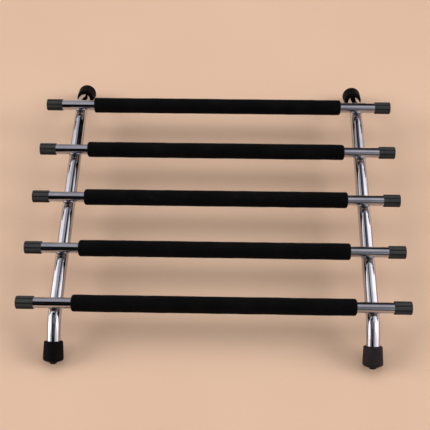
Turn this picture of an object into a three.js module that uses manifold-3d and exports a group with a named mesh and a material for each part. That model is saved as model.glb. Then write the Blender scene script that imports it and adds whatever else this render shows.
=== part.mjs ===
// A metal trivet: five plated cross bars in foam sleeves, welded across two bent side tubes.
// Millimetres, +Z up. X runs along the cross bars, the front is at -Y, the feet rest on z = 0.
import * as THREE from 'three';
import { mergeVertices } from 'three/addons/utils/BufferGeometryUtils.js';
import Module from 'manifold-3d';

const wasm = await Module();
wasm.setup();

// Cross bars: solid rods side by side, each end overhanging the tube under it
const barCount = 5;
const barPitch = 45.5;
const rodLength = 281.4;
const rodOverhang = 25.1;
const rodDiameter = 8;
const rodChamfer = 0.6;

// Foam sleeves: one on the middle of each rod, short of the tubes
const sleeveInset = 13.3;
const sleeveWall = 1.9;
const sleeveEndLength = 2.2;

// End caps: fluted cups pushed on the rod ends
const capLength = 12.8;
const capWall = 0.6;
const capEndWall = 1.5;
const capRounding = 0.8;
const capFlutes = 8;
const capFluteDepth = 0.25;
const capTurn = THREE.MathUtils.degToRad(9);

// Side tubes: straight in the middle, bent down to a leg at each end
const tubeDiameter = 10;
const tubeWall = 1;
const cornerPastBar = 7.3;
const legAngle = THREE.MathUtils.degToRad(30.7);
const legLength = 29.2;
const bendRadius = 20;

// Welds: a bead between each rod and the tube under it
const weldWidth = 8.8;
const weldThickness = 4.2;
const weldReach = 0.8;

// Feet: rubber cups on the legs, with a domed end and a moulding nub
const footLength = 14.3;
const footWall = 1.7;
const footFlare = 0.6;
const footEndWall = 2;
const footLip = 0.5;
const footRounding = 1.8;
const footDome = 1;
const footFlatDepth = 0.4;
const nubDiameter = 4.4;
const nubHeight = 1.5;
const nubChamfer = 0.8;

// Fits: gap between pieces that touch, and how far a cutting shape runs past what it cuts
const seatGap = 0.2;
const overrun = 3;

// Facets
const roundSides = 24;
const boreSides = 16;
const bendSteps = 5;
const edgeSteps = 3;
const weldSides = 12;
const weldRings = 6;

// Flute outline, in shares of one flute: bottom of the groove, then the land beside it
const grooveShares = [-0.07, 0.07];
const landShares = [0.17, 0.5, 0.83];

// How much of a sleeve's wall its rounded end takes off, and how much of its height a foot's dome
// has reached halfway in from its rim
const sleeveEndShare = 0.9;
const domeShare = 0.7;

// Sizes that follow from those above: the corner is where a leg's axis meets the straight axis
const tubeSpacing = rodLength - 2 * rodOverhang;
const sleeveLength = tubeSpacing - 2 * sleeveInset;
const cornerReach = (barCount - 1) / 2 * barPitch + cornerPastBar;
const rodRadius = rodDiameter / 2;
const tubeRadius = tubeDiameter / 2;
const pushedBoreRadius = rodRadius + seatGap;
const sleeveRadius = pushedBoreRadius + sleeveWall;
const capRadius = pushedBoreRadius + capWall;
const footBoreRadius = tubeRadius + seatGap;
const footMouthRadius = footBoreRadius + footWall;
const footEndRadius = footMouthRadius + footFlare;
const footBoreDepth = footLength - footEndWall;
const mouthOffset = legLength + seatGap - footBoreDepth;
const rodAboveTube = tubeRadius + seatGap + rodRadius;
const bendTangent = bendRadius * Math.tan(legAngle / 2);
const straightHalf = cornerReach - bendTangent;

// Points of an elliptical arc in a profile, both ends included
function arc(centreX, centreY, radiusX, radiusY, fromAngle, toAngle) {
  const points = [];
  for (let i = 0; i <= edgeSteps; i += 1) {
    const angle = THREE.MathUtils.lerp(fromAngle, toAngle, i / edgeSteps);
    const x = centreX + radiusX * Math.cos(angle);
    const y = centreY + radiusY * Math.sin(angle);
    points.push(new THREE.Vector2(x, y));
  }
  return points;
}

// Round solid from a profile of radius and height, turned about the Y axis
function turned(profile, sides = roundSides) {
  return new THREE.LatheGeometry(profile, sides);
}

// Round solid from a profile, with its axis laid along X
function turnedAlongX(profile, sides = roundSides) {
  return turned(profile, sides).rotateZ(-Math.PI / 2);
}

// Plain cylinder profile between two heights
function cylinderProfile(radius, from, to) {
  return [
    new THREE.Vector2(0, from),
    new THREE.Vector2(radius, from),
    new THREE.Vector2(radius, to),
    new THREE.Vector2(0, to),
  ];
}

// Skin over rings of as many points each, closed by a flat fan at both ends
function loft(rings) {
  const count = rings[0].length;
  const last = rings.length - 1;
  const indices = [];
  for (let ring = 0; ring < last; ring += 1) {
    for (let i = 0; i < count; i += 1) {
      const here = ring * count + i;
      const beside = ring * count + (i + 1) % count;
      indices.push(here, beside, here + count);
      indices.push(beside, beside + count, here + count);
    }
  }
  const firstCentre = rings.length * count;
  const lastCentre = firstCentre + 1;
  for (let i = 0; i < count; i += 1) {
    const next = (i + 1) % count;
    indices.push(firstCentre, next, i);
    indices.push(lastCentre, last * count + i, last * count + next);
  }
  const points = rings.flat();
  for (const ring of [rings[0], rings[last]]) {
    const centre = new THREE.Vector3();
    ring.forEach((point) => centre.addScaledVector(point, 1 / count));
    points.push(centre);
  }
  const geometry = new THREE.BufferGeometry().setFromPoints(points);
  geometry.setIndex(indices);
  return geometry;
}

// Closed geometry as a solid that can be joined and cut
function toSolid(geometry) {
  const bare = geometry.clone();
  bare.deleteAttribute('normal');
  bare.deleteAttribute('uv');
  const merged = mergeVertices(bare);
  const triangles = [];
  const index = merged.index.array;
  for (let i = 0; i < index.length; i += 3) {
    const [a, b, c] = index.slice(i, i + 3);
    if (a !== b && b !== c && c !== a) {
      triangles.push(a, b, c);
    }
  }
  return new wasm.Manifold(new wasm.Mesh({
    numProp: 3,
    vertProperties: new Float32Array(merged.attributes.position.array),
    triVerts: new Uint32Array(triangles),
  }));
}

// Solid back to a geometry for a mesh
function toGeometry(solid) {
  const mesh = solid.getMesh();
  const geometry = new THREE.BufferGeometry();
  geometry.setAttribute('position', new THREE.BufferAttribute(mesh.vertProperties, 3));
  geometry.setIndex(new THREE.BufferAttribute(mesh.triVerts, 1));
  geometry.computeVertexNormals();
  return geometry;
}

// Centre line of a side tube in the YZ plane. Its stations are one step apart on each straight
// run and bendSteps apart on each bend, so the straight runs stay free of needless rings.
class TubePath extends THREE.Curve {
  static steps = 2 * bendSteps + 3;

  constructor(extra) {
    super();
    this.legRun = legLength - bendTangent + extra;
  }

  getUtoTmapping(u) {
    return u;
  }

  getPoint(t, target = new THREE.Vector3()) {
    const station = (t - 1 / 2) * TubePath.steps;
    const side = Math.sign(station);
    const past = Math.abs(station) - 1 / 2;
    if (past <= 0) {
      return target.set(0, 2 * station * straightHalf, 0);
    }
    const angle = legAngle * Math.min(past / bendSteps, 1);
    const run = this.legRun * Math.max(past - bendSteps, 0);
    const y = straightHalf + bendRadius * Math.sin(angle) + run * Math.cos(angle);
    const drop = bendRadius * (1 - Math.cos(angle)) + run * Math.sin(angle);
    return target.set(0, side * y, -drop);
  }
}

// Round bar swept along the side tube's centre line
function sweptRound(radius, sides, extra) {
  const section = new THREE.Shape().absarc(0, 0, radius, 0, 2 * Math.PI);
  return new THREE.ExtrudeGeometry(section, {
    steps: TubePath.steps,
    curveSegments: sides / 2,
    extrudePath: new TubePath(extra),
    bevelEnabled: false,
  });
}

function barPositions() {
  return Array.from({ length: barCount }, (_, i) => (i - (barCount - 1) / 2) * barPitch);
}

// Bead of weld that fills the corner between a rod and the tube's crest
function weldBead(y) {
  const bead = new THREE.SphereGeometry(1, weldSides, weldRings);
  bead.scale(weldWidth / 2, rodRadius + weldReach, weldThickness / 2);
  return bead.translate(0, y, tubeRadius);
}

// Room for a rod and its gap, across the tube at a bar's place
function rodSeat(y) {
  const reach = tubeRadius + overrun;
  const seat = turnedAlongX(cylinderProfile(rodRadius + seatGap, -reach, reach));
  return seat.translate(0, y, rodAboveTube);
}

function sideTubeGeometry() {
  let tube = toSolid(sweptRound(tubeRadius, roundSides, 0));
  for (const y of barPositions()) {
    tube = tube.add(toSolid(weldBead(y)));
    tube = tube.subtract(toSolid(rodSeat(y)));
  }
  tube = tube.subtract(toSolid(sweptRound(tubeRadius - tubeWall, boreSides, overrun)));
  return toGeometry(tube);
}

function rodGeometry() {
  const end = rodLength / 2;
  return turnedAlongX([
    new THREE.Vector2(0, -end),
    new THREE.Vector2(rodRadius - rodChamfer, -end),
    new THREE.Vector2(rodRadius, rodChamfer - end),
    new THREE.Vector2(rodRadius, end - rodChamfer),
    new THREE.Vector2(rodRadius - rodChamfer, end),
    new THREE.Vector2(0, end),
  ]);
}

function sleeveGeometry() {
  const end = sleeveLength / 2;
  const shoulder = end - sleeveEndLength;
  const drop = sleeveEndShare * sleeveWall;
  const rim = sleeveRadius - drop;
  const bore = new THREE.Vector2(pushedBoreRadius, -end);
  return turnedAlongX([
    bore,
    ...arc(rim, -shoulder, drop, sleeveEndLength, -Math.PI / 2, 0),
    ...arc(rim, shoulder, drop, sleeveEndLength, 0, Math.PI / 2),
    new THREE.Vector2(pushedBoreRadius, end),
    bore,
  ]);
}

// Outline of a fluted cap across X, with the bottom of one groove at the top
function fluteRing(x, radius) {
  const points = [];
  const pitch = 2 * Math.PI / capFlutes;
  const addPoints = (flute, shares, pointRadius) => {
    for (const share of shares) {
      const angle = (flute + share) * pitch;
      const y = -pointRadius * Math.sin(angle);
      points.push(new THREE.Vector3(x, y, pointRadius * Math.cos(angle)));
    }
  };
  for (let flute = 0; flute < capFlutes; flute += 1) {
    addPoints(flute, grooveShares, radius - capFluteDepth);
    addPoints(flute, landShares, radius);
  }
  return points;
}

// Cap with its mouth at x = 0 and its closed end outwards
function capGeometry() {
  const shoulder = capLength - capRounding;
  const edge = arc(capRadius - capRounding, shoulder, capRounding, capRounding, 0, Math.PI / 2);
  const outline = [new THREE.Vector2(capRadius, 0), ...edge];
  const body = toSolid(loft(outline.map((point) => fluteRing(point.y, point.x))));
  const boreDepth = capLength - capEndWall;
  const boreProfile = cylinderProfile(pushedBoreRadius, -overrun, boreDepth);
  const bore = turnedAlongX(boreProfile, boreSides);
  return toGeometry(body.subtract(toSolid(bore)));
}

// Half section of a foot: radius, and distance from the mouth along the leg
function footProfile() {
  const nubRadius = nubDiameter / 2;
  const shoulder = footLength - footRounding;
  const rim = footEndRadius - footRounding;
  const tip = footLength + footDome + nubHeight;
  return [
    new THREE.Vector2(0, footBoreDepth),
    new THREE.Vector2(footBoreRadius, footBoreDepth),
    new THREE.Vector2(footBoreRadius, 0),
    new THREE.Vector2(footMouthRadius - footLip, 0),
    new THREE.Vector2(footMouthRadius, footLip),
    ...arc(rim, shoulder, footRounding, footRounding, 0, Math.PI / 2),
    new THREE.Vector2(THREE.MathUtils.lerp(rim, nubRadius, 1 / 2), footLength + domeShare * footDome),
    new THREE.Vector2(nubRadius, footLength + footDome),
    new THREE.Vector2(nubRadius, tip - nubChamfer),
    new THREE.Vector2(nubRadius - nubChamfer, tip),
    new THREE.Vector2(0, tip),
  ];
}

// Height of the tube's axis over the table: the foot's lowest edge, less the flat worn into it
function tubeHeight() {
  const drops = footProfile().map((point) => {
    const along = mouthOffset + point.y;
    return along * Math.sin(legAngle) + point.x * Math.cos(legAngle);
  });
  return Math.max(...drops) - footFlatDepth;
}

// Foot with its axis along Y and its mouth at the origin, cut flat where it stands
function footGeometry() {
  const mouthHeight = tubeHeight() - mouthOffset * Math.sin(legAngle);
  const size = footLength + 2 * footEndRadius + overrun;
  const table = new THREE.BoxGeometry(2 * size, 2 * size, size);
  table.translate(0, 0, -mouthHeight - size / 2);
  table.rotateX(legAngle);
  return toGeometry(toSolid(turned(footProfile())).subtract(toSolid(table)));
}

function plating() {
  return new THREE.MeshStandardMaterial({ color: 0xc9cbd2, roughness: 0.08, metalness: 1 });
}

function foam() {
  return new THREE.MeshStandardMaterial({ color: 0x0d0d0f, roughness: 0.95, metalness: 0 });
}

function capRubber() {
  return new THREE.MeshStandardMaterial({ color: 0x333633, roughness: 0.6, metalness: 0 });
}

function footRubber() {
  return new THREE.MeshStandardMaterial({ color: 0x121113, roughness: 0.7, metalness: 0 });
}

function addMesh(group, name, geometry, material) {
  const mesh = new THREE.Mesh(geometry, material);
  mesh.name = name;
  group.add(mesh);
  return mesh;
}

// One cross bar with its sleeve and its two caps, centred on the rod
function crossBar(number) {
  const bar = new THREE.Group();
  addMesh(bar, `cross_bar_${number}`, rodGeometry(), plating());
  addMesh(bar, `foam_sleeve_${number}`, sleeveGeometry(), foam());
  for (const [side, hand] of [['left', -1], ['right', 1]]) {
    const end = new THREE.Group();
    end.rotation.z = hand < 0 ? Math.PI : 0;
    const cap = addMesh(end, `end_cap_${side}_${number}`, capGeometry(), capRubber());
    cap.position.x = rodLength / 2 + seatGap + capEndWall - capLength;
    cap.rotation.x = hand * capTurn;
    bar.add(end);
  }
  return bar;
}

// One side tube with its two feet, centred on the tube's straight run
function sideFrame(side) {
  const frame = new THREE.Group();
  addMesh(frame, `side_tube_${side}`, sideTubeGeometry(), plating());
  for (const [place, turn] of [['front', Math.PI], ['back', 0]]) {
    const end = new THREE.Group();
    end.rotation.z = turn;
    const foot = addMesh(end, `foot_${place}_${side}`, footGeometry(), footRubber());
    foot.position.y = cornerReach + mouthOffset * Math.cos(legAngle);
    foot.position.z = -mouthOffset * Math.sin(legAngle);
    foot.rotation.x = -legAngle;
    frame.add(end);
  }
  return frame;
}

function buildTrivet() {
  const trivet = new THREE.Group();
  for (const [side, hand] of [['left', -1], ['right', 1]]) {
    const frame = sideFrame(side);
    frame.position.set(hand * tubeSpacing / 2, 0, tubeHeight());
    trivet.add(frame);
  }
  barPositions().forEach((y, i) => {
    const bar = crossBar(i + 1);
    bar.position.set(0, y, tubeHeight() + rodAboveTube);
    trivet.add(bar);
  });
  return trivet;
}

const trivet = buildTrivet();

export default trivet;
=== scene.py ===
from math import cos, pi, radians, sin, tan

import bmesh
import bpy
from mathutils import Matrix, Vector, noise


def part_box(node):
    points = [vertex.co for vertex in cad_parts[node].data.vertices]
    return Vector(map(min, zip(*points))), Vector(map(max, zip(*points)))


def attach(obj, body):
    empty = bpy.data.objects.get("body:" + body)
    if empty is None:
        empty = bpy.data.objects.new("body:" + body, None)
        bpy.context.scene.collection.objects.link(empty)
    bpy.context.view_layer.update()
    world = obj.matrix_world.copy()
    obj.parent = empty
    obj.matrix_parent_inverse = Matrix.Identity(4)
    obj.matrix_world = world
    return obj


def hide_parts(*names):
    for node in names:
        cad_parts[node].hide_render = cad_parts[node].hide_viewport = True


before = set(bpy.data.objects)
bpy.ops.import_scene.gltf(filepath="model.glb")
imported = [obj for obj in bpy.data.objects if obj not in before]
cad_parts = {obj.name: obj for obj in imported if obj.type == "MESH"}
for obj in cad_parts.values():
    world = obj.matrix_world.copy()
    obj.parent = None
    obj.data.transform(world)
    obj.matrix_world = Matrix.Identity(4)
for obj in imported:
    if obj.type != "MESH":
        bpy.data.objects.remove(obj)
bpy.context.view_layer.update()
mm = 0.001  # the frame is in metres, the sizes in the dictionaries are in millimetres
mergeDistance = 0.001 * mm
near = 0.01 * mm  # places and lengths this close count as the same
origin = (0, 0, 0)
alongX = Vector((1, 0, 0))
print("frame loaded:", len(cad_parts), "nodes")


# sRGB hex code to the linear colour that a shader takes
def hexColour(code):
    channels = [int(code[i:i + 2], 16) / 255 for i in (1, 3, 5)]
    linear = [c / 12.92 if c <= 0.04045 else ((c + 0.055) / 1.055) ** 2.4 for c in channels]
    return (*linear, 1.0)


# Scale of a pattern from its real size in millimetres
def patternScale(size):
    return 1 / (size * mm)


# Sets a node's inputs, each to a value or to another node's output
def setInputs(tree, node, inputs):
    for name, value in inputs.items():
        if isinstance(value, bpy.types.NodeSocket):
            tree.links.new(value, node.inputs[name])
        else:
            node.inputs[name].default_value = value


# One node with its settings and links; stops are the places and colours of a ramp
def addNode(tree, kind, inputs=None, stops=None, **settings):
    node = tree.nodes.new(kind)
    for name, value in settings.items():
        setattr(node, name, value)
    setInputs(tree, node, inputs or {})
    for index, (place, code) in enumerate(stops or []):
        ramp = node.color_ramp.elements
        stop = ramp[index] if index < len(ramp) else ramp.new(place)
        stop.position = place
        stop.color = hexColour(code)
    return node


# Principled material with its sockets set, and the object coordinates to draw patterns on
def newMaterial(name, sockets):
    material = bpy.data.materials.new(name)
    material.use_nodes = True
    tree = material.node_tree
    shader = tree.nodes["Principled BSDF"]
    setInputs(tree, shader, sockets)
    place = addNode(tree, "ShaderNodeTexCoord").outputs["Object"]
    return material, tree, shader, place


# Object in the scene from its data
def addObject(name, data):
    made = bpy.data.objects.new(name, data)
    bpy.context.scene.collection.objects.link(made)
    return made


# Mesh object from a bmesh, at the origin with its place in its mesh
def addMesh(bm, name, material):
    mesh = bpy.data.meshes.new(name)
    bm.to_mesh(mesh)
    bm.free()
    mesh.materials.append(material)
    return addObject(name, mesh)


# Piece of the trivet from a bmesh, standing for a CAD node if one is given. It is shaded smooth,
# but for edges sharper than the angle in degrees.
def finishPiece(bm, name, material, node=None, sharpAngle=40):
    piece = addMesh(bm, name, material)
    mesh = piece.data
    mesh.polygons.foreach_set("use_smooth", [True] * len(mesh.polygons))
    mesh.set_sharp_from_angle(angle=radians(sharpAngle))
    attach(piece, "root")
    if node:
        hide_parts(node)
    return piece


# Middle of a CAD node's box
def middleOf(node):
    low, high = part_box(node)
    return (low + high) / 2


# Half the size of a CAD node's box
def halfOf(node):
    low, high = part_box(node)
    return (high - low) / 2


# Outline of (along, radius) points spun about X into a closed shell
def spunShell(outline, sides):
    bm = bmesh.new()
    points = [bm.verts.new((along, 0, radius)) for along, radius in outline]
    edges = [bm.edges.new(pair) for pair in zip(points, points[1:])]
    if outline[0][1] > 0:
        edges.append(bm.edges.new((points[-1], points[0])))
    bmesh.ops.spin(bm, geom=points + edges, cent=origin, axis=alongX, angle=2 * pi, steps=sides,
                   use_merge=True)
    bmesh.ops.remove_doubles(bm, verts=bm.verts, dist=mergeDistance)
    bmesh.ops.recalc_face_normals(bm, faces=bm.faces)
    return bm


# Rounds the ring edges that lie at one place along X and one radius
def roundRing(bm, along, radius, size, segments):
    ring = []
    for edge in bm.edges:
        places = [abs(v.co.x - along) + abs(Vector(v.co.yz).length - radius) for v in edge.verts]
        if max(places) < near:
            ring.append(edge)
    bmesh.ops.bevel(bm, geom=ring, offset=size, offset_type="OFFSET", affect="EDGES",
                    segments=segments, profile=0.5, material=-1)


# Vertices and edges of the new ring in what an extrusion or a spin gives back
def ringOf(geometry):
    verts = [item for item in geometry if isinstance(item, bmesh.types.BMVert)]
    edges = [item for item in geometry if isinstance(item, bmesh.types.BMEdge)]
    edges = [edge for edge in edges if edge.verts[0] in verts and edge.verts[1] in verts]
    return verts, edges


# Camera: where the photograph was taken from, 430 x 430 pixels
cameraView = {
    "place": (12.53, -350.38, 578.63),
    "down": 58.51,         # degrees below the horizon
    "turn": 2.18,
    "roll": -1.11,
    "focalPixels": 838.45,
    "framePixels": 430,
    "sensor": 36.0,
    "nearest": 10.0,
    "furthest": 100000.0,
}


def makeCamera(view):
    data = bpy.data.cameras.new("camera")
    data.sensor_width = view["sensor"]
    data.lens = view["focalPixels"] / view["framePixels"] * view["sensor"]
    data.clip_start = view["nearest"] * mm
    data.clip_end = view["furthest"] * mm
    camera = addObject("camera", data)
    turned = Matrix.Rotation(radians(view["turn"]), 4, "Z")
    tilted = Matrix.Rotation(radians(90 - view["down"]), 4, "X")
    rolled = Matrix.Rotation(radians(view["roll"]), 4, "Z")
    place = Matrix.Translation(Vector(view["place"]) * mm)
    camera.matrix_world = place @ turned @ tilted @ rolled
    bpy.context.scene.camera = camera


makeCamera(cameraView)
print("camera placed")


# Bright chromium plating, buffed: clear dark-and-white reflections, a faint orange peel,
# hazy patches where it has been handled and fine buffing lines along the piece
def plating(name, look):
    material, tree, shader, place = newMaterial(name, {"Metallic": 1.0})
    haze = addNode(tree, "ShaderNodeTexNoise", {
        "Vector": place, "Scale": patternScale(look["hazeSize"]),
        "Detail": look["hazeDetail"]}).outputs["Fac"]
    colour = addNode(tree, "ShaderNodeValToRGB", {"Fac": haze}, look["tones"]).outputs["Color"]
    hazeFrom, hazeTo = look["hazeRange"]
    clear, hazy = look["roughness"]
    rough = addNode(tree, "ShaderNodeMapRange", {
        "Value": haze, "From Min": hazeFrom, "From Max": hazeTo,
        "To Min": clear, "To Max": hazy}).outputs["Result"]
    drawnOut = addNode(tree, "ShaderNodeMapping", {
        "Vector": place, "Scale": look["lineStretch"]}).outputs["Vector"]
    lines = addNode(tree, "ShaderNodeTexNoise", {
        "Vector": drawnOut, "Scale": patternScale(look["lineWidth"])}).outputs["Fac"]
    peel = addNode(tree, "ShaderNodeTexNoise", {
        "Vector": place, "Scale": patternScale(look["peelSize"])}).outputs["Fac"]
    lined = addNode(tree, "ShaderNodeBump", {
        "Height": lines, "Distance": look["lineDepth"] * mm}).outputs["Normal"]
    peeled = addNode(tree, "ShaderNodeBump", {
        "Height": peel, "Distance": look["peelDepth"] * mm, "Normal": lined}).outputs["Normal"]
    setInputs(tree, shader, {"Base Color": colour, "Roughness": rough, "Normal": peeled})
    return material


# Side tubes: one bent tube each side, under the bars
sideTube = {
    "sides": 72,
    "wall": 1.0,
    "cornerPastBar": 7.3,  # from the last bar to where the leg's axis meets the straight axis
    "legAngle": 30.7,      # degrees below the straight
    "legLength": 29.2,
    "bendRadius": 45.0,
    "bendSteps": 24,
    "cutEvery": 3.0,       # rings along the straight and the legs
    "gap": 0.2,            # to the rods, bridged by the welds, and to the floors of the feet
    # bright chromium plating on bent steel tube: the clearest of the reflections
    "finish": {
        "tones": [(0.35, "#C6C7CC"), (0.7, "#B4B5BB")],  # clear and hazy
        "roughness": (0.04, 0.11),
        "hazeRange": (0.35, 0.75),
        "hazeSize": 16.0,
        "hazeDetail": 4.0,
        "lineWidth": 0.5,  # real buffing lines are finer, and wouldn't show
        "lineStretch": (1, 0.03, 1),
        "lineDepth": 0.001,
        "peelSize": 2.5,
        "peelDepth": 0.004,
    },
}
barNodes = sorted(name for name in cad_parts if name.startswith("cross_bar"))
barPlaces = [middleOf(node) for node in barNodes]
rodRadius = halfOf(barNodes[0]).z
tubeRadius = halfOf("side_tube_left").x
tubeHeight = barPlaces[0].z - rodRadius - sideTube["gap"] * mm - tubeRadius
cornerReach = barPlaces[-1].y + sideTube["cornerPastBar"] * mm


# Half a tube from the middle to the back foot, mirrored to the front and given its wall
def makeSideTube(side, material, sizes):
    bm = bmesh.new()
    angle = radians(sizes["legAngle"])
    bend = sizes["bendRadius"] * mm
    straight = cornerReach - bend * tan(angle / 2)
    leg = sizes["legLength"] * mm - bend * tan(angle / 2)
    across = Matrix.Rotation(pi / 2, 4, "X")
    bmesh.ops.create_circle(bm, segments=sizes["sides"], radius=tubeRadius, matrix=across)
    run = bmesh.ops.extrude_edge_only(bm, edges=bm.edges[:])
    verts, edges = ringOf(run["geom"])
    bmesh.ops.translate(bm, verts=verts, vec=(0, straight, 0))
    bent = bmesh.ops.spin(bm, geom=verts + edges, cent=(0, straight, -bend), axis=alongX,
                          angle=-angle, steps=sizes["bendSteps"])
    verts, edges = ringOf(bent["geom_last"])
    run = bmesh.ops.extrude_edge_only(bm, edges=edges)
    verts, edges = ringOf(run["geom"])
    bmesh.ops.translate(bm, verts=verts, vec=(0, leg * cos(angle), -leg * sin(angle)))
    half = bm.verts[:] + bm.edges[:] + bm.faces[:]
    bmesh.ops.mirror(bm, geom=half, merge_dist=mergeDistance, axis="Y")
    bmesh.ops.remove_doubles(bm, verts=bm.verts, dist=mergeDistance)
    for reach in (straight, leg):
        cuts = int(reach / mm / sizes["cutEvery"])
        runs = [edge for edge in bm.edges if abs(edge.calc_length() - reach) < near]
        bmesh.ops.subdivide_edges(bm, edges=runs, cuts=cuts)
    bmesh.ops.recalc_face_normals(bm, faces=bm.faces)
    bmesh.ops.solidify(bm, geom=bm.faces[:], thickness=sizes["wall"] * mm)
    bmesh.ops.translate(bm, verts=bm.verts, vec=(middleOf(f"side_tube_{side}").x, 0, tubeHeight))
    finishPiece(bm, f"bent_tube_{side}", material, f"side_tube_{side}")


tubePlating = plating("bright chrome on steel tube", sideTube["finish"])
for side in ("left", "right"):
    makeSideTube(side, tubePlating, sideTube)
print("side tubes bent")


# Welds: a plated bead between each rod and the tube, wider than the tube's crest
weld = {
    "width": 8.4,          # along the rod
    "pastRod": 0.4,        # in front of and behind the rod
    "height": 4.2,
    "sides": 48,
    "rings": 24,
    "lumpSize": 2.6,
    "lumpDepth": 0.08,
    # plating over a weld that was not ground: duller and lumpier than the tube, and its colour much
    # darker than the tube's
    "finish": dict(
        sideTube["finish"], tones=[(0.35, "#66666A"), (0.7, "#3C3B3D")], roughness=(0.18, 0.38),
        hazeSize=3.0, lineStretch=(1, 1, 1), lineDepth=0.004, peelSize=1.2, peelDepth=0.02),
}


def makeWelds(side, material, sizes):
    bm = bmesh.new()
    x = middleOf(f"side_tube_{side}").x
    size = Vector((sizes["width"] / 2, rodRadius / mm + sizes["pastRod"], sizes["height"] / 2)) * mm
    for place in barPlaces:
        centre = Vector((x, place.y, tubeHeight + tubeRadius))
        shape = Matrix.Translation(centre) @ Matrix.Diagonal(size).to_4x4()
        bead = bmesh.ops.create_uvsphere(bm, u_segments=sizes["sides"], v_segments=sizes["rings"],
                                         radius=1, matrix=shape)
        for vert in bead["verts"]:
            outward = (vert.co - centre).normalized()
            lump = noise.noise(vert.co / (sizes["lumpSize"] * mm))
            vert.co += outward * lump * sizes["lumpDepth"] * mm
    bmesh.ops.recalc_face_normals(bm, faces=bm.faces)
    finishPiece(bm, f"weld_beads_{side}", material)


weldPlating = plating("chrome over weld bead", weld["finish"])
for side in ("left", "right"):
    makeWelds(side, weldPlating, weld)
print("welds laid")


# Cross bars: cold drawn steel rod with chamfered ends, plated
rod = {
    "sides": 64,
    "chamfer": 0.6,
    "chamferSteps": 3,
    "sharpAngle": 12,      # degrees; keeps the chamfer crisp
    # chromium plating on drawn rod: a touch softer than on the tube, with lines along the draw
    "finish": dict(
        sideTube["finish"], tones=[(0.35, "#BEBFC6"), (0.7, "#ABACB4")], roughness=(0.07, 0.16),
        lineStretch=(0.03, 1, 1), lineDepth=0.002),
}


def makeRod(node, material, sizes):
    middle, half = middleOf(node), halfOf(node)
    chamfer = sizes["chamfer"] * mm
    bm = spunShell([(-half.x, 0), (-half.x, rodRadius), (half.x, rodRadius), (half.x, 0)],
                   sizes["sides"])
    for end in (-half.x, half.x):
        roundRing(bm, end, rodRadius, chamfer, sizes["chamferSteps"])
    bmesh.ops.translate(bm, verts=bm.verts, vec=middle)
    finishPiece(bm, node.replace("cross_bar", "plated_rod"), material, node,
                sizes["sharpAngle"])


rodPlating = plating("chrome on drawn steel rod", rod["finish"])
for barNode in barNodes:
    makeRod(barNode, rodPlating, rod)
print("rods drawn")


# Foam sleeves: thick-walled tube cut to length and pushed on, its cut ends drawn in to the rod
sleeve = {
    "sides": 64,
    "boreGap": 0.1,
    "rounding": 1.75,
    "roundingSteps": 6,
    "lengthCuts": 90,
    "swellSize": 11.0,     # soft unevenness along the sleeve
    "swellDepth": 0.16,
    "dentSize": 3.0,
    "dentDepth": 0.05,
    "fullness": 0.08,      # the foam stands a little fuller than the CAD sleeve
    # how much further out each end reaches than the CAD sleeve, left and right, front bar first
    "ends": [(-0.1, 0.6), (-0.7, -0.9), (-0.4, -0.4), (1.7, -0.5), (0.3, -0.9)],
    "squareEnd": ("foam_sleeve_5", 1.0),  # its left end was cut straight, with this rounding
    "finish": {
        "tones": [(0.18, "#050506"), (0.36, "#0B0A0B"), (0.55, "#191718")],  # clean, worn, dusty
        "roughness": (0.85, 1.0),
        "cellSize": 0.55,  # real cells are 0.1 to 0.3 mm and wouldn't show
        "cellStrength": 0.8,
        "grainSize": 1.1,  # clusters of the drawn cells
        "grainDetail": 3.0,
        "grainStrength": 0.5,
        "depth": 0.12,     # of cells and grain
        "wornSize": 14.0,
        "wornDetail": 6.0,
        "gloss": 0.06,
        "sheen": 0.01,
        "sheenRoughness": 0.5,
    },
}


# Closed-cell nitrile foam with a cut skin: almost black, no gloss, a fine pore texture that
# scatters light softly, and greyer where it has been rubbed
def foamMaterial(name, look):
    material, tree, shader, place = newMaterial(name, {
        "Specular IOR Level": look["gloss"], "Sheen Weight": look["sheen"],
        "Sheen Roughness": look["sheenRoughness"]})
    cells = addNode(tree, "ShaderNodeTexVoronoi", {
        "Vector": place, "Scale": patternScale(look["cellSize"])}).outputs["Distance"]
    worn = addNode(tree, "ShaderNodeTexNoise", {
        "Vector": place, "Scale": patternScale(look["wornSize"]),
        "Detail": look["wornDetail"]}).outputs["Fac"]
    grain = addNode(tree, "ShaderNodeTexNoise", {
        "Vector": place, "Scale": patternScale(look["grainSize"]),
        "Detail": look["grainDetail"]}).outputs["Fac"]
    rubbed = addNode(tree, "ShaderNodeMath", {0: worn, 1: grain},
                     operation="MULTIPLY").outputs["Value"]
    colour = addNode(tree, "ShaderNodeValToRGB", {"Fac": rubbed}, look["tones"]).outputs["Color"]
    least, most = look["roughness"]
    rough = addNode(tree, "ShaderNodeMapRange", {
        "Value": grain, "To Min": least, "To Max": most}).outputs["Result"]
    pitted = addNode(tree, "ShaderNodeBump", {
        "Height": cells, "Distance": look["depth"] * mm,
        "Strength": look["cellStrength"]}).outputs["Normal"]
    grained = addNode(tree, "ShaderNodeBump", {
        "Height": grain, "Distance": look["depth"] * mm,
        "Strength": look["grainStrength"], "Normal": pitted}).outputs["Normal"]
    setInputs(tree, shader, {"Base Color": colour, "Roughness": rough, "Normal": grained})
    return material


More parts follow.
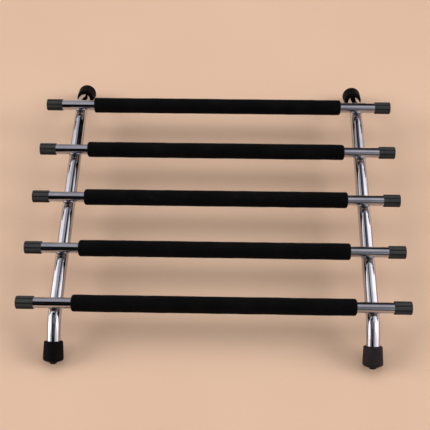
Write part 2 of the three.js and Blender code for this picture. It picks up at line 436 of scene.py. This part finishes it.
def makeSleeve(node, index, material, sizes):
    middle, half = middleOf(node), halfOf(node)
    more = [end * mm for end in sizes["ends"][index]]
    left, right = -half.x - more[0], half.x + more[1]
    bore = rodRadius + sizes["boreGap"] * mm
    bm = spunShell([(left, bore), (left, half.z), (right, half.z), (right, bore)], sizes["sides"])
    rounding = [sizes["rounding"] * mm] * 2
    squareNode, squareRounding = sizes["squareEnd"]
    if node == squareNode:
        rounding[0] = squareRounding * mm
    for end, size in zip((left, right), rounding):
        roundRing(bm, end, half.z, size, sizes["roundingSteps"])
    long = [edge for edge in bm.edges if edge.calc_length() > half.x]
    bmesh.ops.subdivide_edges(bm, edges=long, cuts=sizes["lengthCuts"])
    bm.normal_update()
    for vert in bm.verts:
        if Vector(vert.co.yz).length > bore + near:  # the bore stays true to the rod
            spot = vert.co + middle
            swell = noise.noise(spot / (sizes["swellSize"] * mm)) * sizes["swellDepth"]
            dent = noise.noise(spot / (sizes["dentSize"] * mm)) * sizes["dentDepth"]
            vert.co += vert.normal * (swell + dent + sizes["fullness"]) * mm
    bmesh.ops.translate(bm, verts=bm.verts, vec=middle)
    piece = finishPiece(bm, node.replace("foam_sleeve", "padded_sleeve"), material, node)


foam = foamMaterial("nitrile foam", sleeve["finish"])
for index, barNode in enumerate(barNodes):
    makeSleeve(barNode.replace("cross_bar", "foam_sleeve"), index, foam, sleeve)
print("foam sleeves pushed on")


# End caps: moulded cups with flutes along their sides
cap = {
    "flutes": 8,
    "sidesPerFlute": 24,
    "fluteDepth": 0.36,
    "fluteShare": 0.3,     # half width of a groove, as a share of the flute
    "turn": 9.0,           # degrees from the top to the nearest groove
    "lip": 0.2,
    "rounding": 0.6,
    "roundingSteps": 6,
    "holdLine": 0.3,       # rings beside the rounded edges, which keep the sides straight
    "endInset": 1.2,       # ring on the flat end
    "endWall": 1.5,
    "boreGap": 0.1,
    "sharpAngle": 30,
    # moulded soft vinyl: a dull dark grey, with painted shade that makes it nearly black down in
    # the grooves
    "finish": {
        "tones": [(0.3, "#303233"), (0.5, "#353738"), (0.8, "#3C3E3E")],  # bare to bloomed
        # painted shade: the colour the grooves are painted down in them
        "groove": "#141617",
        "roughness": (0.55, 0.72),
        "grainSize": 0.4,  # the mould's grain is finer, and wouldn't show
        "grainDetail": 3.0,
        "grainDepth": 0.02,
        "bloomSize": 5.0,
        "bloomDetail": 5.0,
        "gloss": 0.16,
    },
}


# Plastic or rubber from a spark-eroded mould: a fine grain, a pale bloom in patches and a broad
# low sheen
def mouldedMaterial(name, look):
    material, tree, shader, place = newMaterial(name, {"Specular IOR Level": look["gloss"]})
    bloom = addNode(tree, "ShaderNodeTexNoise", {
        "Vector": place, "Scale": patternScale(look["bloomSize"]),
        "Detail": look["bloomDetail"]}).outputs["Fac"]
    grain = addNode(tree, "ShaderNodeTexNoise", {
        "Vector": place, "Scale": patternScale(look["grainSize"]),
        "Detail": look["grainDetail"]}).outputs["Fac"]
    colour = addNode(tree, "ShaderNodeValToRGB", {"Fac": bloom}, look["tones"]).outputs["Color"]
    # painted shade: grooves, where a piece has them, are painted darker through their mask
    if "groove" in look:
        paintedGrooveShade = addNode(tree, "ShaderNodeAttribute", attribute_name="groove").outputs["Fac"]
        colour = addNode(tree, "ShaderNodeMixRGB", {
            "Fac": paintedGrooveShade, "Color1": colour,
            "Color2": hexColour(look["groove"])}).outputs["Color"]
    least, most = look["roughness"]
    rough = addNode(tree, "ShaderNodeMapRange", {
        "Value": grain, "To Min": least, "To Max": most}).outputs["Result"]
    grained = addNode(tree, "ShaderNodeBump", {
        "Height": grain, "Distance": look["grainDepth"] * mm}).outputs["Normal"]
    setInputs(tree, shader, {"Base Color": colour, "Roughness": rough, "Normal": grained})
    return material


# Cup drawn out ring by ring from its mouth, over its rounded end and back down its bore
def makeCap(node, hand, material, sizes):
    middle, half = middleOf(node), halfOf(node)
    bm = bmesh.new()
    # painted shade: this mask tells the material where to paint the grooves darker
    grooveShadeMask = bm.verts.layers.float.new("groove")  # the material darkens the grooves by it
    sides = sizes["flutes"] * sizes["sidesPerFlute"]
    bmesh.ops.create_circle(bm, segments=sides, radius=1, matrix=Matrix.Rotation(pi / 2, 4, "Y"))
    start = bm.verts[:]
    radius = half.y

    def fluted(vert, outer, x):
        direction = Vector((0, vert.co.y, vert.co.z)).normalized()
        turn = direction.yz.angle_signed(Vector((0, 1))) - radians(sizes["turn"])
        flute = turn / (2 * pi) * sizes["flutes"]
        share = abs(flute - round(flute)) / sizes["fluteShare"]
        groove = (1 + cos(pi * min(share, 1))) / 2  # 1 down in a groove, 0 on the lands
        vert[grooveShadeMask] = groove
        vert.co = direction * (outer - sizes["fluteDepth"] * mm * groove)
        vert.co.x = x

    def inBore(vert, x):
        vert.co = Vector((0, vert.co.y, vert.co.z)).normalized() * bore
        vert.co.x = x

    def nextRing(edges, place):
        run = bmesh.ops.extrude_edge_only(bm, edges=edges)
        verts, edges = ringOf(run["geom"])
        for vert in verts:
            place(vert)
        return edges

    length = 2 * half.x
    lip, rounding = sizes["lip"] * mm, sizes["rounding"] * mm
    bore = rodRadius + sizes["boreGap"] * mm
    for vert in start:
        fluted(vert, radius - lip, 0)
    mouth = bm.edges[:]
    ring = nextRing(mouth, lambda vert: fluted(vert, radius, lip))
    for x in (lip + sizes["holdLine"] * mm, length - rounding - sizes["holdLine"] * mm):
        ring = nextRing(ring, lambda vert: fluted(vert, radius, x))
    for step in range(sizes["roundingSteps"] + 1):
        angle = pi / 2 * step / sizes["roundingSteps"]
        x = length - rounding + rounding * sin(angle)
        outer = radius - rounding + rounding * cos(angle)
        ring = nextRing(ring, lambda vert: fluted(vert, outer, x))
    face = bmesh.ops.edgeloop_fill(bm, edges=ring)["faces"]
    bmesh.ops.inset_region(bm, faces=face, thickness=sizes["endInset"] * mm, depth=0)
    bmesh.ops.poke(bm, faces=face)
    ring = nextRing(mouth, lambda vert: inBore(vert, 0))
    ring = nextRing(ring, lambda vert: inBore(vert, length - sizes["endWall"] * mm))
    bmesh.ops.edgeloop_fill(bm, edges=ring)
    bmesh.ops.recalc_face_normals(bm, faces=bm.faces)
    turned = Matrix.Rotation(0 if hand > 0 else pi, 4, "Z")
    inner = Matrix.Translation(middle - alongX * hand * half.x)
    bmesh.ops.transform(bm, matrix=inner @ turned, verts=bm.verts)
    finishPiece(bm, node.replace("end_cap", "fluted_cap"), material, node,
                sizes["sharpAngle"])


capVinyl = mouldedMaterial("moulded soft vinyl", cap["finish"])
for barNode in barNodes:
    number = barNode.split("_")[-1]
    makeCap(f"end_cap_left_{number}", -1, capVinyl, cap)
    makeCap(f"end_cap_right_{number}", 1, capVinyl, cap)
print("end caps fitted")


# Feet: moulded rubber cups on the legs, domed at the end with a moulding nub
foot = {
    "sides": 72,
    "length": 14.3,
    "mouthRadius": 6.9,
    "endRadius": 7.5,
    "boreGap": 0.1,
    "endWall": 2.0,
    "lip": 0.5,
    "rounding": 1.8,
    "dome": 1.0,
    "nubRadius": 2.6,
    "nubHeight": 1.3,
    "nubChamfer": 1.0,
    "holdLine": 0.4,       # rings beside the rounded edges, which keep the sides straight
    "steps": 6,
    "sharpAngle": 30,
    # moulded black rubber: nearly black, with hardly any shine
    "finish": {
        "tones": [(0.3, "#060506"), (0.5, "#080708"), (0.8, "#0D0C0C")],  # bare to bloomed
        "roughness": (0.6, 0.8),
        "grainSize": 0.5,  # the mould's grain is finer, and wouldn't show
        "grainDetail": 3.0,
        "grainDepth": 0.03,
        "bloomSize": 6.0,
        "bloomDetail": 5.0,
        "gloss": 0.07,
    },
    # the same rubber painted lighter on one foot, painted light for the brighter light that falls
    # on that foot: a dark grey, a little brown
    "paintedLight": ("front", "right"),
    "paintedLightTones": [(0.3, "#231D1F"), (0.5, "#272123"), (0.8, "#2D2728")],
}


# Cup spun from its outline, pushed on the leg's end and cut flat where it meets the floor
def makeFoot(place, side, material, sizes):
    node = f"foot_{place}_{side}"
    bore = tubeRadius / mm + sizes["boreGap"]
    shoulder = sizes["length"] - sizes["rounding"]
    tip = sizes["length"] + sizes["dome"] + sizes["nubHeight"]
    rim = sizes["endRadius"] - sizes["rounding"]
    depth = sizes["length"] - sizes["endWall"]
    outline = [(depth, 0), (depth, bore), (0, bore), (0, sizes["mouthRadius"] - sizes["lip"]),
               (sizes["lip"], sizes["mouthRadius"])]
    flare = (sizes["endRadius"] - sizes["mouthRadius"]) / (shoulder - sizes["lip"])
    for along in (sizes["lip"] + sizes["holdLine"], shoulder - sizes["holdLine"]):  # flared side
        outline.append((along, sizes["mouthRadius"] + flare * (along - sizes["lip"])))
    for step in range(sizes["steps"] + 1):  # rounded edge of the end
        angle = pi / 2 * step / sizes["steps"]
        outline.append((shoulder + sizes["rounding"] * sin(angle),
                        rim + sizes["rounding"] * cos(angle)))
    for step in range(1, sizes["steps"] + 1):  # dome
        share = step / sizes["steps"]
        outline.append((sizes["length"] + sizes["dome"] * sin(share * pi / 2),
                        rim + (sizes["nubRadius"] - rim) * share))
    for step in range(sizes["steps"] + 1):  # edge of the nub
        angle = pi / 2 * step / sizes["steps"]
        outline.append((tip - sizes["nubChamfer"] * (1 - sin(angle)),
                        sizes["nubRadius"] - sizes["nubChamfer"] * (1 - cos(angle))))
    outline.append((tip, 0))
    bm = spunShell([(along * mm, radius * mm) for along, radius in outline], sizes["sides"])
    hand = -1 if place == "front" else 1
    angle = radians(sideTube["legAngle"])
    direction = Vector((0, hand * cos(angle), -sin(angle)))
    mouthPlace = (sideTube["legLength"] + sideTube["gap"] - depth) * mm
    corner = Vector((middleOf(f"side_tube_{side}").x, hand * cornerReach, tubeHeight))
    turned = direction.to_track_quat("X", "Z").to_matrix().to_4x4()
    where = Matrix.Translation(corner + direction * mouthPlace)
    bmesh.ops.transform(bm, matrix=where @ turned, verts=bm.verts)
    cut = bmesh.ops.bisect_plane(bm, geom=bm.verts[:] + bm.edges[:] + bm.faces[:],
                                 dist=mergeDistance, plane_co=origin, plane_no=(0, 0, 1),
                                 clear_inner=True)
    rims = [item for item in cut["geom_cut"] if isinstance(item, bmesh.types.BMEdge)]
    bmesh.ops.holes_fill(bm, edges=rims, sides=0)
    finishPiece(bm, f"rubber_foot_{place}_{side}", material, node,
                sizes["sharpAngle"])


footRubber = mouldedMaterial("moulded black rubber", foot["finish"])
# painted light: a copy of the rubber painted lighter, for one foot
paintedLightRubber = mouldedMaterial("paintedLight black rubber", dict(foot["finish"], tones=foot["paintedLightTones"]))
for place in ("front", "back"):
    for side in ("left", "right"):
        # the front right foot takes the copy with the painted light
        rubber = paintedLightRubber if (place, side) == foot["paintedLight"] else footRubber
        makeFoot(place, side, rubber, foot)
print("feet fitted")


# Floor: one wide plain pale sheet
floor = {
    "size": 60000.0,
    "squares": 8,
    "tones": [(0.3, "#D9BAA4"), (0.7, "#DCBEA8")],
    "mottleSize": 160.0,
}


# Plain matt board: an even warm pale tone with only a trace of mottling
def makeFloor(look):
    material, tree, shader, place = newMaterial("plain board", {
        "Roughness": 1.0, "Specular IOR Level": 0.0})
    mottle = addNode(tree, "ShaderNodeTexNoise", {
        "Vector": place, "Scale": patternScale(look["mottleSize"])}).outputs["Fac"]
    colour = addNode(tree, "ShaderNodeValToRGB", {"Fac": mottle}, look["tones"]).outputs["Color"]
    setInputs(tree, shader, {"Base Color": colour})
    bm = bmesh.new()
    bmesh.ops.create_grid(bm, x_segments=look["squares"], y_segments=look["squares"],
                          size=look["size"] / 2 * mm)
    sheet = addMesh(bm, "floor", material)


makeFloor(floor)
print("floor laid")


# Black cards stood on the floor behind the back legs, out of the picture: the plating alone
# shows them, as the dark core of those legs
cards = {
    "runs": [("left card", -112, -74), ("right card", 83, 136)],  # from and to, along X
    "place": 180.0,
    "height": 40.0,
    "colour": "#060607",
}


# Matt black card, which gives the eye hardly any light back
def makeCards(look):
    material = newMaterial("black card", {
        "Base Color": hexColour(look["colour"]), "Roughness": 1.0, "Specular IOR Level": 0.0})[0]
    upright = Matrix.Rotation(pi / 2, 4, "X")
    for name, start, end in look["runs"]:
        bm = bmesh.new()
        size = Matrix.Diagonal(((end - start) / 2, look["height"] / 2, 1)).to_4x4()
        middle = Vector(((start + end) / 2, look["place"], look["height"] / 2)) * mm
        where = Matrix.Translation(middle) @ upright @ size
        # two millimetres square until the matrix stretches it
        bmesh.ops.create_grid(bm, x_segments=1, y_segments=1, size=mm, matrix=where)
        card = addMesh(bm, name, material)
        card.visible_camera = False
        card.visible_diffuse = False
        card.visible_shadow = False


makeCards(cards)
print("cards stood up")


# Tent of lit cloth over the part, which is what the plating shows, while the room lights the rest.
# Places are in millimetres, and a glow of 1 is a white sheet in full light.
tent = {
    "tint": "#FBF8FF",
    # Side walls that lean in, bright beside the part and dimmer towards the back. Each section is
    # from, to, the glow of its lower part and that of its upper share.
    "upperShare": 0.25,
    "sideWalls": [
        {"name": "left wall", "top": (-350, 440), "bottom": (-740, 0), "sections": [
            (-650, -450, 0.15, 0.15), (-450, -400, 0.5, 0.3), (-400, -350, 1.0, 0.5),
            (-350, -300, 1.6, 0.7), (-300, 100, 2.4, 1.1), (100, 200, 1.9, 1.5),
            (200, 300, 1.45, 1.45), (300, 400, 1.2, 1.2), (400, 500, 0.95, 0.95),
            (500, 600, 0.5, 0.5)]},
        {"name": "right wall", "top": (290, 440), "bottom": (690, 0), "sections": [
            (-650, -450, 0.4, 0.4), (-450, -350, 0.9, 0.7), (-350, -250, 1.4, 0.9),
            (-250, 200, 2.0, 1.5), (200, 300, 1.8, 1.5), (300, 400, 1.25, 1.25),
            (400, 450, 0.7, 0.7)]},
    ],
    # Dim roof, with a dark slit along the middle that closes a little towards the camera. Each
    # panel is left, right, front, back and glow.
    "roofHeight": 430,
    "roof": [
        ("left roof", -360, -43, -90, 340, 0.6),
        ("left roof back", -360, -95, 340, 650, 0.5),
        ("left roof front", -360, -285, -500, -150, 0.4),
        ("middle roof", -170, 75, -240, -120, 0.2),
        ("middle roof front", -170, 75, -430, -240, 0.07),
        ("right roof", 80, 285, -150, 180, 0.68),
        ("right roof back", 80, 285, 180, 390, 0.15),
        ("right roof front", 80, 240, -750, -150, 0.25),
        ("right roof side", 240, 400, -750, -150, 0.6)],
    # Upright walls behind and in front. Each panel is left, right, bottom, top and glow.
    "endWalls": [
        {"place": 620, "panels": [
            ("left back", -520, -200, 0, 430, 0.4),
            ("right back", 0, 200, 60, 400, 0.12)]},
        {"place": -750, "panels": [
            ("right front", 60, 520, 170, 420, 0.17)]},
    ],
}


# Lit panel from its middle, the direction along it, the one up it, and its two sizes
def addPanel(name, middle, along, up, size, glow):
    size = Vector(size) * mm
    data = bpy.data.lights.new(name, "AREA")
    data.shape = "RECTANGLE"
    data.size, data.size_y = size
    data.energy = glow * pi * size.x * size.y
    data.color = hexColour(tent["tint"])[:3]
    along, up = Vector(along).normalized(), Vector(up).normalized()
    turned = Matrix((along, up, along.cross(up))).transposed().to_4x4()
    panel = addObject(name, data)
    panel.matrix_world = Matrix.Translation(Vector(middle) * mm) @ turned
    panel.visible_camera = False
    panel.visible_diffuse = False


def hangTent(look):
    split = 1 - look["upperShare"]
    for wall in look["sideWalls"]:
        (topX, topZ), (bottomX, bottomZ) = wall["top"], wall["bottom"]
        up = Vector((topX - bottomX, 0, topZ - bottomZ))
        along = (0, 1, 0) if topX > 0 else (0, -1, 0)
        for start, end, lowGlow, highGlow in wall["sections"]:
            lowEdge = Vector((bottomX, (start + end) / 2, bottomZ))
            for low, high, glow in ((0, split, lowGlow), (split, 1, highGlow)):
                middle = lowEdge + up * (low + high) / 2
                size = (end - start, up.length * (high - low))
                addPanel(wall["name"], middle, along, up, size, glow)
    for name, left, right, front, back, glow in look["roof"]:
        middle = ((left + right) / 2, (front + back) / 2, look["roofHeight"])
        addPanel(name, middle, (1, 0, 0), (0, 1, 0), (right - left, back - front), glow)
    for wall in look["endWalls"]:
        along = (-1, 0, 0) if wall["place"] > 0 else (1, 0, 0)
        for name, left, right, bottom, top, glow in wall["panels"]:
            middle = ((left + right) / 2, wall["place"], (bottom + top) / 2)
            addPanel(name, middle, along, (0, 0, 1), (right - left, top - bottom), glow)


hangTent(tent)
print("tent hung")


# Room: soft lights low at both sides and high behind, and a little from all round. To the eye and
# in the plating it is dark overhead, with a haze as pale as the floor along the horizon.
room = {
    "softLights": [        # name, degrees round from X and above the horizon, width and strength
        ("left light", 180, 25, 30, 1.76),
        ("right light", 0, 25, 30, 1.9),
        ("back left light", 135, 60, 50, 0.78),
        ("back right light", 45, 60, 50, 0.78)],
    "roundLight": 0.15,
    "tint": "#FFFAF5",
    "haze": "#DDBBA3",
    "hazeTop": 1.5,        # degrees above the horizon
    "darkFrom": 5.0,
    "dark": "#121110",
}


def lightRoom(look):
    for name, around, above, width, strength in look["softLights"]:
        data = bpy.data.lights.new(name, "SUN")
        data.energy = strength
        data.angle = radians(width)
        data.color = hexColour(look["tint"])[:3]
        lamp = addObject(name, data)
        lamp.rotation_euler = (0, radians(90 - above), radians(around))
        lamp.visible_glossy = False
    world = bpy.data.worlds.new("studio")
    world.use_nodes = True
    tree = world.node_tree
    direction = addNode(tree, "ShaderNodeTexCoord").outputs["Generated"]
    height = addNode(tree, "ShaderNodeSeparateXYZ", {"Vector": direction}).outputs["Z"]
    surroundings = addNode(tree, "ShaderNodeValToRGB", {"Fac": height}, [
        (sin(radians(look["hazeTop"])), look["haze"]),
        (sin(radians(look["darkFrom"])), look["dark"])]).outputs["Color"]
    path = addNode(tree, "ShaderNodeLightPath").outputs
    seen = addNode(tree, "ShaderNodeMath", {
        0: path["Is Camera Ray"], 1: path["Is Glossy Ray"]}, operation="MAXIMUM").outputs["Value"]
    seenOrThrough = addNode(tree, "ShaderNodeMath", {
        0: seen, 1: path["Is Transmission Ray"]}, operation="MAXIMUM").outputs["Value"]
    light = addNode(tree, "ShaderNodeBackground", {
        "Color": hexColour(look["tint"]),
        "Strength": look["roundLight"]}).outputs["Background"]
    view = addNode(tree, "ShaderNodeBackground", {"Color": surroundings}).outputs["Background"]
    mixed = addNode(tree, "ShaderNodeMixShader", {
        "Fac": seenOrThrough, 1: light, 2: view}).outputs["Shader"]
    setInputs(tree, tree.nodes["World Output"], {"Surface": mixed})
    bpy.context.scene.world = world


lightRoom(room)
bpy.context.scene.view_settings.view_transform = "Standard"
print("room lit")
